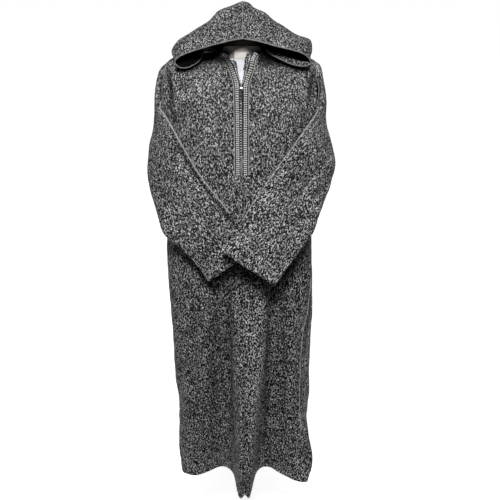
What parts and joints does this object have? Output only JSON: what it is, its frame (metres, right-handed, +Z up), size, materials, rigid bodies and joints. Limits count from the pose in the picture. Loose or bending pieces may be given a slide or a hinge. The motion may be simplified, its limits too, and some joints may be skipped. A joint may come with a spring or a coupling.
{
  "type": "hooded djellaba on a dress form",
  "caption": "Long hooded djellaba of marled wool with a braided zip opening, its sleeves crossed in front, on a limbless dress form with a pole and a round base.",
  "frame": {"origin": "on the floor, under the middle of the whole object's box", "axes": "+Z up, -Y towards the wearer's front, +X towards the viewer's right"},
  "size_m": [0.5744, 0.4504, 2.0224],
  "materials": {
    "marled_wool": "coarse marled black and grey wool",
    "grey_braid": "light grey knitted braid",
    "zip_metal": "dark satin metal",
    "white_jersey": "white jersey stretched over the form",
    "dark_wood": "dark satin wood",
    "label_tape": "plain woven tape",
    "stand_steel": "brushed"
  },
  "bodies": {
    "garment": {"front": "marled_wool", "back": "marled_wool", "sleeve_left": "marled_wool", "sleeve_right": "marled_wool", "hood_left": "marled_wool", "hood_right": "marled_wool", "braid_left": "grey_braid", "braid_right": "grey_braid", "edging_left": "grey_braid", "edging_right": "grey_braid", "zip_chain": "zip_metal", "zip_slider": "zip_metal", "form_torso": "white_jersey", "form_label": "label_tape", "form_cap": "dark_wood", "stand_pole": "stand_steel", "stand_base": "stand_steel"},
    "zip_pull": {"zip_tab": "zip_metal"}
  },
  "joints": [
    {"name": "zip_tab_swing", "type": "hinge", "parent": "garment", "child": "zip_pull", "pos_m": [0.00077, -0.12624, 1.78777], "axis": [-1, 0, 0], "range_deg": [0, 120]}
  ]
}
